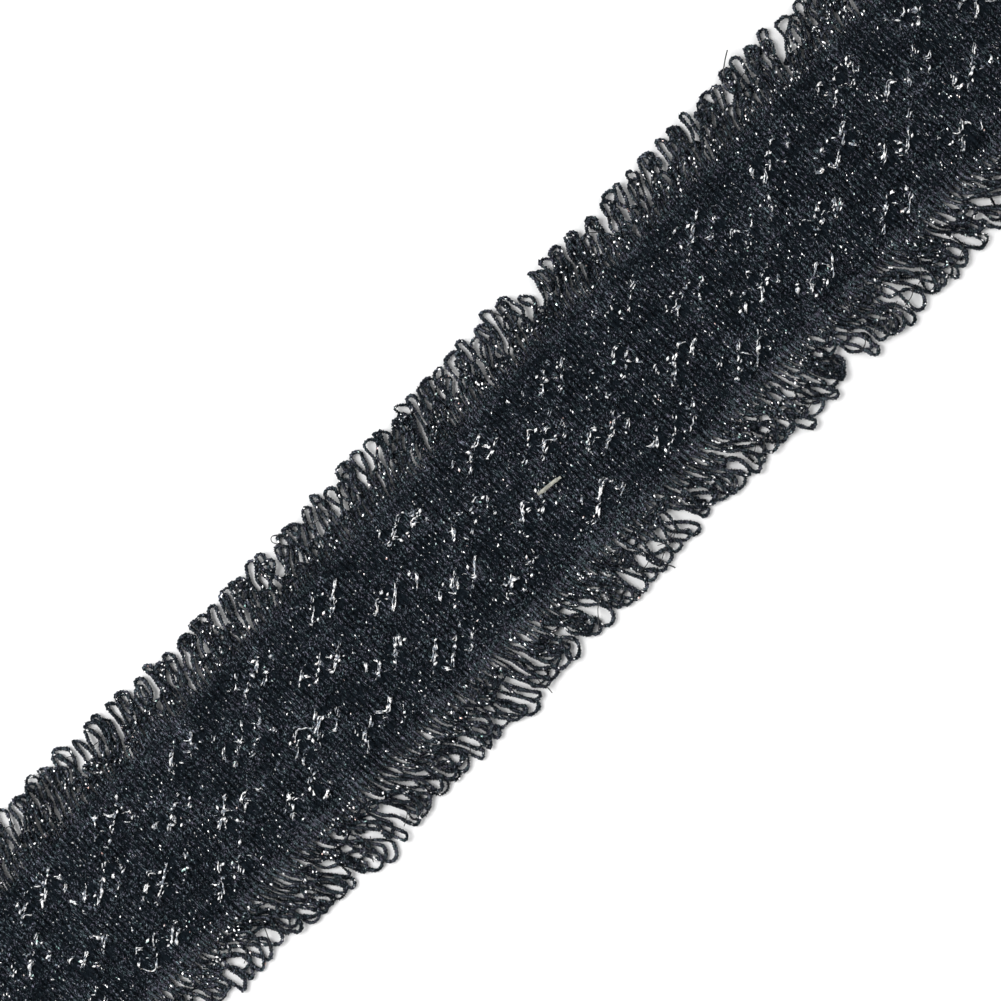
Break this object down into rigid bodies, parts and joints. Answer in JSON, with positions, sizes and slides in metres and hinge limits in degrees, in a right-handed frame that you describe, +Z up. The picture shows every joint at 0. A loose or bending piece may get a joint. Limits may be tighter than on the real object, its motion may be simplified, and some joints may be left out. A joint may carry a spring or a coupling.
{
  "type": "woven braid trim with looped fringe",
  "caption": "Flat black braid trim of ribbed yarn with rows of small silver thread motifs and a fringe of yarn loops along both long edges.",
  "frame": {"origin": "centre of the trim's bounding box on its underside, in the plane it lies on", "axes": "+X along the trim, towards the way the loops lean; +Y across it, towards its upper edge; +Z up from the surface"},
  "size_m": [0.2524, 0.0508, 0.0018],
  "materials": {
    "band_yarn": "bluish black twisted yarn with fine black and silver metallised flecks",
    "loop_yarn": "the same bluish black yarn in free loops, with metallised flecks",
    "silver_thread": "bright flat silver metallised thread of the motifs"
  },
  "bodies": {
    "root": {"woven_band": "band_yarn", "loop_fringe_upper": "loop_yarn", "loop_fringe_lower": "loop_yarn"}
  },
  "joints": []
}
